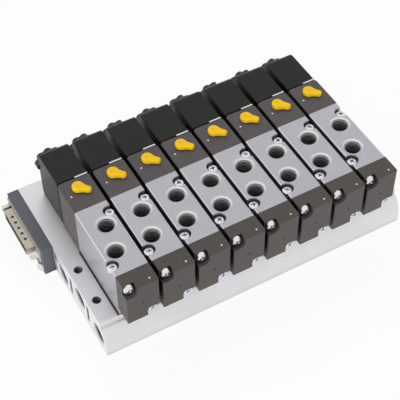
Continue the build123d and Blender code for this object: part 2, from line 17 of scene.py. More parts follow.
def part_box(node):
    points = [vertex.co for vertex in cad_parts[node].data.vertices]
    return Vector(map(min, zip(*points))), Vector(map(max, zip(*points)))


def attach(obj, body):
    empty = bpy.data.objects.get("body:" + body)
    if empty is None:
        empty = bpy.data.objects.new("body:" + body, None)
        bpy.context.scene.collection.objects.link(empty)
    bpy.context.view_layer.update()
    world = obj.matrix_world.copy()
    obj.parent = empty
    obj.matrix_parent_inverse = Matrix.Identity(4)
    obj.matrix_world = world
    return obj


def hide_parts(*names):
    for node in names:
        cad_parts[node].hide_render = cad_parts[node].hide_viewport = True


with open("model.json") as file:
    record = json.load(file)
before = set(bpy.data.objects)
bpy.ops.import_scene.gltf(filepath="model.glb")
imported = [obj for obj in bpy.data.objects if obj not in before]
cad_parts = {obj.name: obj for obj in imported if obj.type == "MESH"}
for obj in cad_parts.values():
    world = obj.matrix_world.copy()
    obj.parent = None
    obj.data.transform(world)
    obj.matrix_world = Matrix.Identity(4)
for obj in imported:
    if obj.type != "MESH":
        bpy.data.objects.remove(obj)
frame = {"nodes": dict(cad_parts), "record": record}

MM = 0.001
STATIONS = 8
scene = bpy.context.scene
nodes = frame["nodes"]
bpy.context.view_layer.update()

# %% [markdown]
# ## Camera
# A product shot of a flat machine is taken from above with a long lens, so that parallel edges
# stay nearly parallel. We give the camera's place and its three angles, and build its axes from
# them: that is easier to read than a rotation in Euler angles, and the small roll of a hand-set
# tripod is one number.

# %% Camera
CAMERA_PLACE = Vector((-0.2488, -0.4081, 0.6162))
CAMERA_AZIMUTH = math.radians(-28.82)
CAMERA_ELEVATION = math.radians(49.83)
CAMERA_ROLL = math.radians(-0.66)
CAMERA_LENS, SENSOR_WIDTH, NEAREST = 102.24, 36, 0.01

level = math.cos(CAMERA_ELEVATION)
back = Vector((level * math.sin(CAMERA_AZIMUTH), -level * math.cos(CAMERA_AZIMUTH),
               math.sin(CAMERA_ELEVATION)))
right = Vector((math.cos(CAMERA_AZIMUTH), math.sin(CAMERA_AZIMUTH), 0))
up = back.cross(right)
across = right * math.cos(CAMERA_ROLL) + up * math.sin(CAMERA_ROLL)
upright = up * math.cos(CAMERA_ROLL) - right * math.sin(CAMERA_ROLL)

camera = bpy.data.objects.new("camera", bpy.data.cameras.new("camera"))
camera.data.lens = CAMERA_LENS
camera.data.sensor_width = SENSOR_WIDTH
camera.data.clip_start = NEAREST
turn = Matrix((across, upright, back)).transposed().to_4x4()
camera.matrix_world = Matrix.Translation(CAMERA_PLACE) @ turn
scene.collection.objects.link(camera)
scene.camera = camera
scene.view_settings.view_transform = "Standard"
print("camera at", [round(v, 3) for v in CAMERA_PLACE])

# %% [markdown]
# ## Materials
# Each finish is one node tree on Object coordinates, so it sits still on its piece and can be
# baked. All of them share a plan: a soft noise varies the colour, a fine noise makes the grain
# for the bump and roughness, and the Bevel node rounds the sharp CAD edges where light catches
# them. An Ambient Occlusion node finds the gaps and bores and darkens their colour, as painted
# shade for the little light that comes back out of a real one. It looks at the shape and not at
# the camera, so it can be baked too. One function builds that plan, and each finish gives it its
# own numbers.

# %% Colour helpers
def srgb(red, green, blue):
    """A colour as it is seen, 0 to 255, made linear for the shader's socket."""
    seen = (red / 255, green / 255, blue / 255)
    return (*[v / 12.92 if v <= 0.04045 else ((v + 0.055) / 1.055) ** 2.4 for v in seen], 1.0)


def shaded(colour, factor):
    """The same colour, lighter or darker."""
    return (*[min(1.0, v * factor) for v in colour[:3]], 1.0)


print("middle grey in linear light:", round(srgb(128, 128, 128)[0], 3))


# %% Small parts of the node tree
EDGE_SAMPLES, GAP_SAMPLES = 6, 8
FLAT_DOT, EDGE_DOT = 0.99, 0.85
SHUT_SHARE, OPEN_SHARE = 0.15, 0.6
CHAMFER_SLACK = 0.06
# Painted shade in gaps: how far the AO node looks, in mm, and the share of the colour left deepest
# in.
GAP_REACH, GAP_SHADE = 12, 0.15
NOISE_LOW, NOISE_HIGH, FINE_DETAIL = 0.3, 0.7, 4.0


def noise(tree, size, stretch=(1, 1, 1), detail=3.0):
    """A noise on Object coordinates whose features are about size metres across."""
    coordinates = tree.nodes.new("ShaderNodeTexCoord")
    mapping = tree.nodes.new("ShaderNodeMapping")
    texture = tree.nodes.new("ShaderNodeTexNoise")
    mapping.inputs["Scale"].default_value = [1 / (size * s) for s in stretch]
    texture.inputs["Scale"].default_value = 1.0
    texture.inputs["Detail"].default_value = detail
    tree.links.new(coordinates.outputs["Object"], mapping.inputs["Vector"])
    tree.links.new(mapping.outputs["Vector"], texture.inputs["Vector"])
    return texture.outputs["Fac"]


def map_range(tree, value, start, stop, low=0.0, high=1.0):
    """Map start to stop onto low to high, and hold the ends."""
    node = tree.nodes.new("ShaderNodeMapRange")
    ends = {"From Min": start, "From Max": stop, "To Min": low, "To Max": high}
    for label, number in ends.items():
        node.inputs[label].default_value = number
    tree.links.new(value, node.inputs["Value"])
    return node.outputs["Result"]


def spread(tree, value, low, high):
    """Map the middle of a noise onto low to high."""
    return map_range(tree, value, NOISE_LOW, NOISE_HIGH, low, high)


def mix_colour(tree, factor, first, second):
    """Mix two colours, each a socket or a plain colour (6, 7 and 2 are the node's colour sockets)."""
    node = tree.nodes.new("ShaderNodeMix")
    node.data_type = "RGBA"
    tree.links.new(factor, node.inputs[0])
    for socket, value in ((node.inputs[6], first), (node.inputs[7], second)):
        if isinstance(value, tuple):
            socket.default_value = value
        else:
            tree.links.new(value, socket)
    return node.outputs[2]


def edge_mask(tree, rounded):
    """1 on a sharp edge and 0 on a flat: how far the rounded normal leans from the true one."""
    geometry = tree.nodes.new("ShaderNodeNewGeometry")
    dot = tree.nodes.new("ShaderNodeVectorMath")
    dot.operation = "DOT_PRODUCT"
    tree.links.new(rounded, dot.inputs[0])
    tree.links.new(geometry.outputs["True Normal"], dot.inputs[1])
    return map_range(tree, dot.outputs["Value"], FLAT_DOT, EDGE_DOT)


def openness(tree, reach):
    """0 deep in a gap or a bore and 1 in the open: the share that is free within reach mm."""
    free = tree.nodes.new("ShaderNodeAmbientOcclusion")
    free.samples = GAP_SAMPLES
    free.inputs["Distance"].default_value = reach * MM
    return map_range(tree, free.outputs["AO"], SHUT_SHARE, OPEN_SHARE)


def chamfer_mask(tree):
    """1 on faces cut at 45 degrees to Z, such as the mouth of a port, and 0 elsewhere."""
    coordinates = tree.nodes.new("ShaderNodeTexCoord")
    parts = tree.nodes.new("ShaderNodeSeparateXYZ")
    node = tree.nodes.new("ShaderNodeMath")
    node.operation = "COMPARE"
    node.inputs[1].default_value = math.sqrt(0.5)
    node.inputs[2].default_value = CHAMFER_SLACK
    tree.links.new(coordinates.outputs["Normal"], parts.inputs["Vector"])
    tree.links.new(parts.outputs["Z"], node.inputs[0])
    return node.outputs["Value"]


print("samples for edges and gaps:", EDGE_SAMPLES, GAP_SAMPLES)


# %% The shared node tree
def finish(name, colour, roughness, metallic=0.0, mottle=(8, 0.05), grain=(0.5, 0.01),
           stretch=(1, 1, 1), vary=0.06, edge=0.25, wear=1.15, reach=GAP_REACH, gap_shade=GAP_SHADE,
           cut_metal_and_highlight=None, **sockets):
    """A material. Mottle is (size in mm, share), grain (size in mm, depth in mm), edge a radius.

    Gaps narrower than reach mm are darkened as painted shade, and 45 degree faces take the given
    colour of cut metal, with a painted highlight, where there is one.
    """
    material = bpy.data.materials.new(name)
    material.use_nodes = True
    tree = material.node_tree
    shader = tree.nodes["Principled BSDF"]
    shader.inputs["Metallic"].default_value = metallic
    for socket, value in sockets.items():
        shader.inputs[socket.replace("_", " ")].default_value = value
    bevel = tree.nodes.new("ShaderNodeBevel")
    bevel.samples = EDGE_SAMPLES
    bevel.inputs["Radius"].default_value = edge * MM
    cloud = spread(tree, noise(tree, mottle[0] * MM), 0.0, 1.0)
    body = mix_colour(tree, cloud, shaded(colour, 1 - mottle[1]), shaded(colour, 1 + mottle[1]))
    worn_and_highlight = mix_colour(tree, edge_mask(tree, bevel.outputs["Normal"]), body, shaded(colour, wear))
    # Painted highlight with lighter cut metal: faces at 45 degrees to Z take the given colour.
    if cut_metal_and_highlight:
        worn_and_highlight = mix_colour(tree, chamfer_mask(tree), worn_and_highlight, cut_metal_and_highlight)
    # Painted shade: the colour darkens where the AO node finds the surroundings close.
    deep = mix_colour(tree, openness(tree, reach), shaded(colour, gap_shade), worn_and_highlight)
    tree.links.new(deep, shader.inputs["Base Color"])
    fine = noise(tree, grain[0] * MM, stretch, FINE_DETAIL)
    rough = spread(tree, fine, roughness - vary, roughness + vary)
    tree.links.new(rough, shader.inputs["Roughness"])
    bump = tree.nodes.new("ShaderNodeBump")
    bump.inputs["Strength"].default_value = 1.0
    bump.inputs["Distance"].default_value = grain[1] * MM
    tree.links.new(fine, bump.inputs["Height"])
    tree.links.new(bevel.outputs["Normal"], bump.inputs["Normal"])
    tree.links.new(bump.outputs["Normal"], shader.inputs["Normal"])
    return material


print("gaps narrower than", GAP_REACH, "mm go towards", GAP_SHADE, "of the colour")

# %% [markdown]
# ## Finishes of this island
# The base is an extrusion, so its grain is stretched along X as the die leaves it. The valve
# bodies are cast and anodised, with an even satin grain, and their port mouths are cut afterwards,
# so those 45 degree faces are given a lighter colour: brighter cut metal, with a painted highlight
# on top. The plastics differ by colour and by how fine their mould was etched. Plated screws are
# bright and smooth.

# %% Finishes
base_finish = finish(
    "anodised_extrusion", srgb(231, 229, 232), 0.42, metallic=0.44, mottle=(18, 0.03),
    grain=(0.35, 0.004), stretch=(60, 1, 1), vary=0.05, edge=0.3, wear=1.12)
# The body's 45 degree faces, port mouths and edge chamfers, get lighter cut metal and a painted
# highlight; its gaps get painted shade.
body_finish = finish(
    "satin_valve_body", srgb(183, 182, 188), 0.40, metallic=0.6, mottle=(10, 0.03),
    grain=(0.30, 0.006), vary=0.05, edge=0.3, wear=1.25, gap_shade=0.2, cut_metal_and_highlight=srgb(226, 226, 230))
cap_finish = finish(
    "etched_cap_plastic", srgb(71, 66, 63), 0.42, mottle=(6, 0.06), grain=(0.35, 0.012),
    edge=0.3, wear=1.3, Specular_IOR_Level=0.45)
pilot_finish = finish(
    "etched_pilot_plastic", srgb(78, 72, 74), 0.44, mottle=(6, 0.06), grain=(0.35, 0.012),
    edge=0.3, wear=1.3, Specular_IOR_Level=0.5)
coil_finish = finish(
    "coil_moulding", srgb(38, 38, 36), 0.38, mottle=(5, 0.10), grain=(0.60, 0.02), vary=0.08,
    edge=0.4, wear=1.4, Specular_IOR_Level=0.15)
nut_finish = finish(
    "nut_moulding", srgb(40, 40, 40), 0.35, mottle=(5, 0.10), edge=0.3, wear=1.4)
lever_finish = finish(
    "yellow_lever", srgb(255, 206, 24), 0.32, mottle=(5, 0.02), grain=(0.60, 0.006), vary=0.05,
    wear=1.05, Specular_IOR_Level=0.3)
# The screws' cross recesses darken with painted shade.
screw_finish = finish(
    "bright_zinc", srgb(225, 226, 232), 0.24, metallic=0.95, mottle=(2, 0.05),
    grain=(0.25, 0.003), edge=0.1, wear=1.05, reach=1.6, gap_shade=0.04)
steel_finish = finish(
    "plated_steel", srgb(222, 220, 214), 0.30, metallic=0.9, mottle=(4, 0.05),
    grain=(0.30, 0.003), stretch=(8, 1, 1), edge=0.2, wear=1.05)
shell_finish = finish(
    "tin_plate", srgb(186, 180, 170), 0.34, metallic=0.85, mottle=(3, 0.06), grain=(0.35, 0.004),
    stretch=(1, 6, 1), edge=0.2, wear=1.1, reach=2.5)
housing_finish = finish(
    "housing_plastic", srgb(92, 92, 101), 0.42, mottle=(6, 0.05), grain=(0.35, 0.012), edge=0.35,
    wear=1.2)
insert_finish = finish(
    "contact_carrier", srgb(26, 26, 27), 0.45, mottle=(3, 0.10), grain=(0.40, 0.01), edge=0.15,
    wear=1.2)
rubber_finish = finish(
    "gasket_rubber", srgb(22, 22, 23), 0.70, mottle=(3, 0.10), grain=(0.30, 0.02), vary=0.08,
    edge=0.2, wear=1.1)
spool_finish = finish(
    "ground_spool", srgb(200, 200, 203), 0.28, metallic=0.9, mottle=(4, 0.03),
    grain=(0.15, 0.003), stretch=(1, 0.3, 1), vary=0.05, edge=0.2, wear=1.1)
board_finish = finish(
    "green_laminate", srgb(38, 92, 58), 0.40, mottle=(4, 0.08), grain=(0.40, 0.01), edge=0.1,
    wear=1.1)
print("finishes:", len(bpy.data.materials))

# %% Put the finishes on the CAD nodes
NODE_FINISHES = {
    "manifold_base": base_finish, "connector_housing": housing_finish, "end_cover": housing_finish,
    "dsub_shell": shell_finish, "dsub_insert": insert_finish, "wiring_board": board_finish,
    "jack_screws": steel_finish, "station_gaskets": rubber_finish, "yoke_plates": steel_finish,
    "coil_nuts": nut_finish, "valve_screws": screw_finish, "cover_screws": screw_finish,
    "valve_body": body_finish, "spool": spool_finish, "end_cap": cap_finish,
    "pilot_head": pilot_finish, "override_lever": lever_finish, "coil": coil_finish,
}
for name, node in nodes.items():
    kind = name.rstrip("0123456789").rstrip("_")
    node.data.materials.clear()
    node.data.materials.append(NODE_FINISHES[kind])
print("nodes with a finish:", len(nodes))

# %% [markdown]
# ## Helpers for turned and cut pieces
# Screws, pins and paint dots are turned shapes: a profile spun about an axis. We write the
# profile as radius and height in millimetres and join the rings ourselves, which keeps every pole
# closed and every face outward. A cross recess or a dimple is cut with an exact Boolean, because
# it has to be real geometry.

# %% Turned shapes
def make_object(name, vertices, faces):
    """A mesh object at the origin, from vertices in metres."""
    mesh = bpy.data.meshes.new(name)
    mesh.from_pydata(vertices, [], faces)
    mesh.update()
    piece = bpy.data.objects.new(name, mesh)
    scene.collection.objects.link(piece)
    return piece


def turned(name, profile, segments=24):
    """A closed solid of revolution about Z; profile is (radius, height) in mm, foot to top."""
    vertices, rings = [], []
    for radius, height in profile:
        count = 1 if radius == 0 else segments
        rings.append(range(len(vertices), len(vertices) + count))
        for n in range(count):
            angle = 2 * math.pi * n / segments
            x, y = radius * MM * math.cos(angle), radius * MM * math.sin(angle)
            vertices.append((x, y, height * MM))
    faces = []
    for low, high in zip(rings, rings[1:]):
        for n in range(segments):
            m = (n + 1) % segments
            if len(low) == 1:
                faces.append((low[0], high[m], high[n]))
            elif len(high) == 1:
                faces.append((low[n], low[m], high[0]))
            else:
                faces.append((low[n], low[m], high[m], high[n]))
    return make_object(name, vertices, faces)


def finished_mesh(piece):
    """Apply what modifiers the piece has, and leave it a plain mesh."""
    graph = bpy.context.evaluated_depsgraph_get()
    mesh = bpy.data.meshes.new_from_object(piece.evaluated_get(graph))
    piece.modifiers.clear()
    piece.data = mesh
    return piece


def cut(piece, *cutters):
    """Cut the cutters out of the piece, then delete them."""
    for cutter in cutters:
        modifier = piece.modifiers.new("cut", "BOOLEAN")
        modifier.operation = "DIFFERENCE"
        modifier.solver = "EXACT"
        modifier.object = cutter
    finished_mesh(piece)
    for cutter in cutters:
        bpy.data.objects.remove(cutter)
    return piece


def smooth_by_angle(piece, degrees=35):
    """Smooth shading, with the edges that turn more than the angle left sharp."""
    mesh = piece.data
    work = bmesh.new()
    work.from_mesh(mesh)
    for edge in work.edges:
        joined = len(edge.link_faces) == 2
        edge.smooth = joined and edge.calc_face_angle(0) < math.radians(degrees)
    for face in work.faces:
        face.smooth = True
    work.to_mesh(mesh)
    work.free()
    return piece


# %% [markdown]
# ## Copies with Geometry Nodes
# Sixteen valve screws, twenty cover screws, twenty-two threads, twenty-five contact pins, and all
# dots, marks and dimples are copies of a few small shapes. One tree puts a copy on each point of
# a carrier mesh, aims its axis along the point's own direction and gives it a seeded turn,
# because real screws stop at any angle. It ends in Realize Instances and Set Material, so what
# leaves it is one plain mesh.

# %% The copying tree
def add_node(tree, kind, **values):
    """A node with its socket defaults set by name."""
    node = tree.nodes.new(kind)
    for name, value in values.items():
        node.inputs[name.replace("_", " ")].default_value = value
    return node


def copying_tree():
    """Fastener on each point, its Z along the point's aim, turned by up to Turn Spread."""
    tree = bpy.data.node_groups.new("copies_on_points", "GeometryNodeTree")
    face = tree.interface
    face.new_socket("Geometry", in_out="INPUT", socket_type="NodeSocketGeometry")
    face.new_socket("Fastener", in_out="INPUT", socket_type="NodeSocketObject")
    face.new_socket("Turn Spread", in_out="INPUT", socket_type="NodeSocketFloat")
    face.new_socket("Seed", in_out="INPUT", socket_type="NodeSocketInt")
    face.new_socket("Finish", in_out="INPUT", socket_type="NodeSocketMaterial")
    face.new_socket("Geometry", in_out="OUTPUT", socket_type="NodeSocketGeometry")
    source = tree.nodes.new("NodeGroupInput")
    fastener = tree.nodes.new("GeometryNodeObjectInfo")
    aim = add_node(tree, "GeometryNodeInputNamedAttribute", Name="aim")
    aim.data_type = "FLOAT_VECTOR"
    align = tree.nodes.new("FunctionNodeAlignRotationToVector")
    align.axis = "Z"
    chance = tree.nodes.new("FunctionNodeRandomValue")
    turn = add_node(tree, "FunctionNodeAxisAngleToRotation", Axis=(0, 0, 1))
    both = tree.nodes.new("FunctionNodeRotateRotation")
    both.rotation_space = "LOCAL"
    place = tree.nodes.new("GeometryNodeInstanceOnPoints")
    realize = tree.nodes.new("GeometryNodeRealizeInstances")
    paint = tree.nodes.new("GeometryNodeSetMaterial")
    sink = tree.nodes.new("NodeGroupOutput")
    link = tree.links.new
    link(source.outputs["Fastener"], fastener.inputs["Object"])
    link(aim.outputs["Attribute"], align.inputs["Vector"])
    link(source.outputs["Turn Spread"], chance.inputs[3])  # the highest of the random numbers
    link(source.outputs["Seed"], chance.inputs["Seed"])
    link(chance.outputs[1], turn.inputs["Angle"])
    link(align.outputs["Rotation"], both.inputs["Rotation"])
    link(turn.outputs["Rotation"], both.inputs["Rotate By"])
    link(source.outputs["Geometry"], place.inputs["Points"])
    link(fastener.outputs["Geometry"], place.inputs["Instance"])
    link(both.outputs["Rotation"], place.inputs["Rotation"])
    link(place.outputs["Instances"], realize.inputs["Geometry"])
    link(realize.outputs["Geometry"], paint.inputs["Geometry"])
    link(source.outputs["Finish"], paint.inputs["Material"])
    link(paint.outputs["Geometry"], sink.inputs["Geometry"])
    return tree


def set_input(modifier, name, value):
    """Set a tree's named input by its socket identifier."""
    for socket in modifier.node_group.interface.items_tree:
        if socket.name == name and socket.in_out == "INPUT":
            modifier[socket.identifier] = value


COPYING = copying_tree()
print("nodes in the copying tree:", len(COPYING.nodes))

# %% Putting the copies in one piece
def copies(name, prototypes, places, material, body="island", turn=0.0, seed=1):
    """One piece made of a prototype at each (point in mm, aim); the prototypes are then deleted."""
    made = []
    for prototype, spots in zip(prototypes, places):
        carrier = make_object(name, [[v * MM for v in point] for point, _ in spots], [])
        aims = carrier.data.attributes.new("aim", "FLOAT_VECTOR", "POINT")
        aims.data.foreach_set("vector", [v for _, aim in spots for v in aim])
        modifier = carrier.modifiers.new("copies", "NODES")
        modifier.node_group = COPYING
        inputs = {"Fastener": prototype, "Turn Spread": turn, "Seed": seed, "Finish": material}
        for label, value in inputs.items():
            set_input(modifier, label, value)
        made.append(finished_mesh(carrier))
    for prototype in set(prototypes):
        bpy.data.objects.remove(prototype)
    piece = join(made)
    piece.name = name
    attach(piece, body)
    print(name, "copies:", sum(map(len, places)), "faces:", len(piece.data.polygons))
    return piece


def join(pieces):
    """Merge several plain meshes into the first piece."""
    first = pieces[0]
    if len(pieces) > 1:
        with bpy.context.temp_override(active_object=first, selected_editable_objects=pieces):
            bpy.ops.object.join()
    return first


# %% [markdown]
# ## Places that repeat
# Everything on a valve repeats at each station, so each place is written once, for a valve in the
# middle, and moved along by the pitch. The levels come from the CAD boxes, so the trim follows
# the model if a size changes.

# %% Levels from the frame
def low(node, axis):
    """A CAD node's lowest value on an axis, in mm."""
    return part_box(node)[0]["xyz".index(axis)] / MM


def high(node, axis):
    """A CAD node's highest value on an axis, in mm."""
    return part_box(node)[1]["xyz".index(axis)] / MM


BODY_TOP = high("valve_body_1", "z")
BODY_FRONT = low("valve_body_1", "y")
BODY_SIDE = (high("valve_body_1", "x") - low("valve_body_1", "x")) / 2
BODIES = [f"valve_body_{n}" for n in range(1, STATIONS + 1)]
CENTRES = [(low(body, "x") + high(body, "x")) / 2 for body in BODIES]
UP, FRONT, LEFT, RIGHT = (0, 0, 1), (0, -1, 0), (-1, 0, 0), (1, 0, 0)


def at_stations(spots):
    """The same (point, aim) spots moved to each valve."""
    return [((point[0] + x, point[1], point[2]), aim) for x in CENTRES for point, aim in spots]


print("stations at", [round(x, 1) for x in CENTRES], "body top", round(BODY_TOP, 2))

# %% [markdown]
# ## Screws
# The screws are zinc-plated, with a low domed head and a cross recess. The CAD solids are plain
# rods with plain heads, so these pieces take their place: each is turned from its profile with a
# rounded rim and a tapered point, and the recess is cut by two crossed wedges.

# %% Screw shapes
HEAD_RADIUS, HEAD_HEIGHT, SHANK_RADIUS = 3.5, 2.8, 2.0
RECESS_REACH, RECESS_WIDTH, RECESS_DEPTH, RECESS_FOOT = 1.95, 0.95, 1.5, 0.45
CUT_CLEARANCE, SCREW_POINT = 0.3, 0.5
HEAD_RIM = (
    (0.97, 0), (1, 0.03), (1, 0.45), (0.985, 0.60), (0.94, 0.73),
    (0.85, 0.84), (0.70, 0.92), (0.45, 0.98), (0, 1))


def cross_arm(turn):
    """One tapered arm of a cross recess, as a cutter."""
    reach, width = RECESS_REACH, RECESS_WIDTH / 2
    foot = HEAD_HEIGHT - RECESS_DEPTH
    corners = []
    for height, share in ((foot, RECESS_FOOT), (HEAD_HEIGHT + CUT_CLEARANCE, 1.0)):
        for x, y in ((-1, -1), (1, -1), (1, 1), (-1, 1)):
            flank = y * width * (0.6 + 0.4 * share)  # an arm narrows less than it shortens
            corners.append(Vector((x * reach * share, flank, height)) * MM)
    spin = Matrix.Rotation(turn, 3, "Z")
    faces = [(3, 2, 1, 0), (4, 5, 6, 7), (0, 1, 5, 4), (1, 2, 6, 5), (2, 3, 7, 6), (3, 0, 4, 7)]
    return make_object("arm", [spin @ corner for corner in corners], faces)


def screw_shape(length):
    """A screw whose head's underside is at Z = 0, with its shank below."""
    rim = [(HEAD_RADIUS * r, HEAD_HEIGHT * h) for r, h in HEAD_RIM]
    tip = [(0, -length), (SHANK_RADIUS - SCREW_POINT, -length)]
    shank = tip + [(SHANK_RADIUS, -length + SCREW_POINT), (SHANK_RADIUS, 0)]
    screw = turned("screw", shank + rim, 32)
    return smooth_by_angle(cut(screw, cross_arm(0), cross_arm(math.pi / 2)), 40)


print("screw faces:", len(screw_shape(1).data.polygons))
bpy.data.objects.remove(bpy.data.objects["screw"])

# %% Valve screws
RECESS_X, RECESS_Y, RECESS_SEAT = 8.85, 19.85, 4.2
SCREW_TURN = 1.5
recess_floor = BODY_TOP - RECESS_SEAT
VALVE_SCREW = recess_floor - low("valve_screws", "z")
recess_spots = [((side * RECESS_X, side * RECESS_Y, recess_floor), UP) for side in (-1, 1)]
valve_spots = at_stations(recess_spots)
valve_screws = copies("valve_screw_set", [screw_shape(VALVE_SCREW)], [valve_spots], screw_finish,
                      turn=SCREW_TURN, seed=3)
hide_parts("valve_screws")

# %% Cover screws
UPPER_X, UPPER_WEB, UPPER_DROP, UPPER_LENGTH = -7.2, 8.5, 3.85, 12.0
LOWER_X, LOWER_WEB, LOWER_DROP, LOWER_LENGTH = 6.6, 10.2, 28.65, 16.0
UPPER_SPOT = ((UPPER_X, BODY_FRONT - UPPER_WEB, BODY_TOP - UPPER_DROP), FRONT)
LOWER_SPOT = ((LOWER_X, BODY_FRONT - LOWER_WEB, BODY_TOP - LOWER_DROP), FRONT)
END_Y, END_HEIGHT, END_LENGTH = (46.5, 94.5), 5.0, 13.3
end_spots = [((low("connector_housing", "x"), y, END_HEIGHT), LEFT) for y in END_Y]
end_spots += [((high("end_cover", "x"), y, END_HEIGHT), RIGHT) for y in END_Y]
cover_shapes = [screw_shape(length) for length in (UPPER_LENGTH, LOWER_LENGTH, END_LENGTH)]
cover_places = [at_stations([UPPER_SPOT]), at_stations([LOWER_SPOT]), end_spots]
cover_screws = copies("cover_screw_set", cover_shapes, cover_places, screw_finish,
                      turn=SCREW_TURN, seed=8)
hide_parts("cover_screws")

# %% [markdown]
# ## Threads
# Each work port is tapped G1/4 and each end port G3/8, both with a pitch of 1.337 mm. A second
# small tree sweeps a diamond along a helix, with the radius, pitch, length and ridge as its
# inputs. The helix is a ridge that stands in from the plain CAD wall, which keeps the CAD bore as
# it is.

# %% The thread tree
PIPE_PITCH, RIDGE, RIDGE_SINK = 1.337, 0.42, 0.6


def thread_tree():
    """A helical ridge about Z, from Z = 0 down."""
    tree = bpy.data.node_groups.new("helical_thread", "GeometryNodeTree")
    face = tree.interface
    face.new_socket("Geometry", in_out="INPUT", socket_type="NodeSocketGeometry")
    for name in ("Radius", "Length", "Pitch", "Ridge"):
        face.new_socket(name, in_out="INPUT", socket_type="NodeSocketFloat")
    face.new_socket("Finish", in_out="INPUT", socket_type="NodeSocketMaterial")
    face.new_socket("Geometry", in_out="OUTPUT", socket_type="NodeSocketGeometry")
    source = tree.nodes.new("NodeGroupInput")
    turns = tree.nodes.new("ShaderNodeMath")
    turns.operation = "DIVIDE"
    down = tree.nodes.new("ShaderNodeMath")
    down.operation = "MULTIPLY"
    down.inputs[1].default_value = -1
    helix = add_node(tree, "GeometryNodeCurveSpiral", Resolution=28)
    upright_normals = tree.nodes.new("GeometryNodeSetCurveNormal")
    upright_normals.mode = "Z_UP"
    diamond = add_node(tree, "GeometryNodeCurvePrimitiveCircle", Resolution=4)
    sweep = add_node(tree, "GeometryNodeCurveToMesh", Fill_Caps=True)
    realize = tree.nodes.new("GeometryNodeRealizeInstances")
    paint = tree.nodes.new("GeometryNodeSetMaterial")
    sink = tree.nodes.new("NodeGroupOutput")
    link = tree.links.new
    link(source.outputs["Length"], turns.inputs[0])
    link(source.outputs["Pitch"], turns.inputs[1])
    link(source.outputs["Length"], down.inputs[0])
    link(turns.outputs[0], helix.inputs["Rotations"])
    link(source.outputs["Radius"], helix.inputs["Start Radius"])
    link(source.outputs["Radius"], helix.inputs["End Radius"])
    link(down.outputs[0], helix.inputs["Height"])
    link(helix.outputs["Curve"], upright_normals.inputs["Curve"])
    link(source.outputs["Ridge"], diamond.inputs["Radius"])
    link(upright_normals.outputs["Curve"], sweep.inputs["Curve"])
    link(diamond.outputs["Curve"], sweep.inputs["Profile Curve"])
    link(sweep.outputs["Mesh"], realize.inputs["Geometry"])
    link(realize.outputs["Geometry"], paint.inputs["Geometry"])
    link(source.outputs["Finish"], paint.inputs["Material"])
    link(paint.outputs["Geometry"], sink.inputs["Geometry"])
    return tree


THREADING = thread_tree()
# The thread's hollows darken with painted shade.
thread_finish = finish(
    "cut_thread", srgb(190, 190, 188), 0.22, metallic=0.95, mottle=(3, 0.06),
    grain=(0.25, 0.004), edge=0.05, wear=1.05, gap_shade=0.1)


def thread(bore, length, ridge=RIDGE):
    """A thread prototype in a bore of that radius, in mm."""
    piece = make_object("thread", [(0, 0, 0)], [])
    modifier = piece.modifiers.new("thread", "NODES")
    modifier.node_group = THREADING
    radius = bore - ridge * RIDGE_SINK
    sizes = {"Radius": radius, "Length": length, "Pitch": PIPE_PITCH, "Ridge": ridge}
    for label, value in sizes.items():
        set_input(modifier, label, value * MM)
    set_input(modifier, "Finish", thread_finish)
    return finished_mesh(piece)


# %% Threads in the ports
PORT_X, PORT_Y = 2.0, 10.55
PORT_BORE, PORT_CHAMFER, PORT_LENGTH = 5.725, 1.2, 10.6
port_top = BODY_TOP - PORT_CHAMFER
work_spots = at_stations([((side * PORT_X, side * PORT_Y, port_top), UP) for side in (-1, 1)])
END_BORE, END_CHAMFER, END_THREAD = 7.475, 0.9, 11.5
END_NAMES = ("port_left", "port_right")
END_PORTS = [m["pos_m"] for m in frame["record"]["mounts"] if m["name"].endswith(END_NAMES)]
base_end = high("manifold_base", "x") - END_CHAMFER
end_port_spots = [((math.copysign(base_end, x), y / MM, z / MM), RIGHT if x > 0 else LEFT)
                  for x, y, z in END_PORTS]
thread_shapes = [thread(PORT_BORE, PORT_LENGTH), thread(END_BORE, END_THREAD)]
threads = copies("port_threads", thread_shapes, [work_spots, end_port_spots], thread_finish)

# %% [markdown]
# ## Connector
# The 25 contacts are turned pins in two rows, 2.77 mm apart, that stand inside the shroud. The
# shroud has a row of pressed dimples on each long side, which grip and earth the cable's plug. A
# merged copy of the CAD shell is cut by small balls, and a thin turned cup closes each hole, as
# the press leaves the metal. The cups are coloured darker than the shell, as painted shade in the
# hollow of each dimple.

# %% Contact pins
CONTACT_PITCH, ROW_GAP, CONTACTS = 2.77, 2.84, 25
PIN_PROFILE = [(0, -0.5), (0.5, -0.5), (0.5, 2.7), (0.42, 3.0), (0.22, 3.25), (0, 3.3)]
pin_finish = finish(
    "gold_contact", srgb(166, 138, 84), 0.28, metallic=0.95, mottle=(2, 0.05),
    grain=(0.2, 0.002), vary=0.05, edge=0.05, wear=1.05)
shell_y = (low("dsub_shell", "y") + high("dsub_shell", "y")) / 2
shell_z = (low("dsub_insert", "z") + high("dsub_insert", "z")) / 2
carrier_face = low("dsub_insert", "x")
pin_spots = []
for n in range(CONTACTS):
    row, column = divmod(n, CONTACTS // 2 + 1)
    across_row = (column - (CONTACTS // 2 - row) / 2) * CONTACT_PITCH
    place = (carrier_face, shell_y + across_row, shell_z + (0.5 - row) * ROW_GAP)
    pin_spots.append((place, LEFT))
pin = smooth_by_angle(turned("pin", PIN_PROFILE, 12))
pins = copies("contact_pins", [pin], [pin_spots], pin_finish)


# %% Shroud with its dimples
def merged_copy(node, name):
    """A CAD node's mesh as one closed solid, in a new object."""
    piece = bpy.data.objects.new(name, nodes[node].data.copy())
    scene.collection.objects.link(piece)
    work = bmesh.new()
    work.from_mesh(piece.data)
    bmesh.ops.remove_doubles(work, verts=work.verts, dist=1e-6)
    work.to_mesh(piece.data)
    work.free()
    return piece


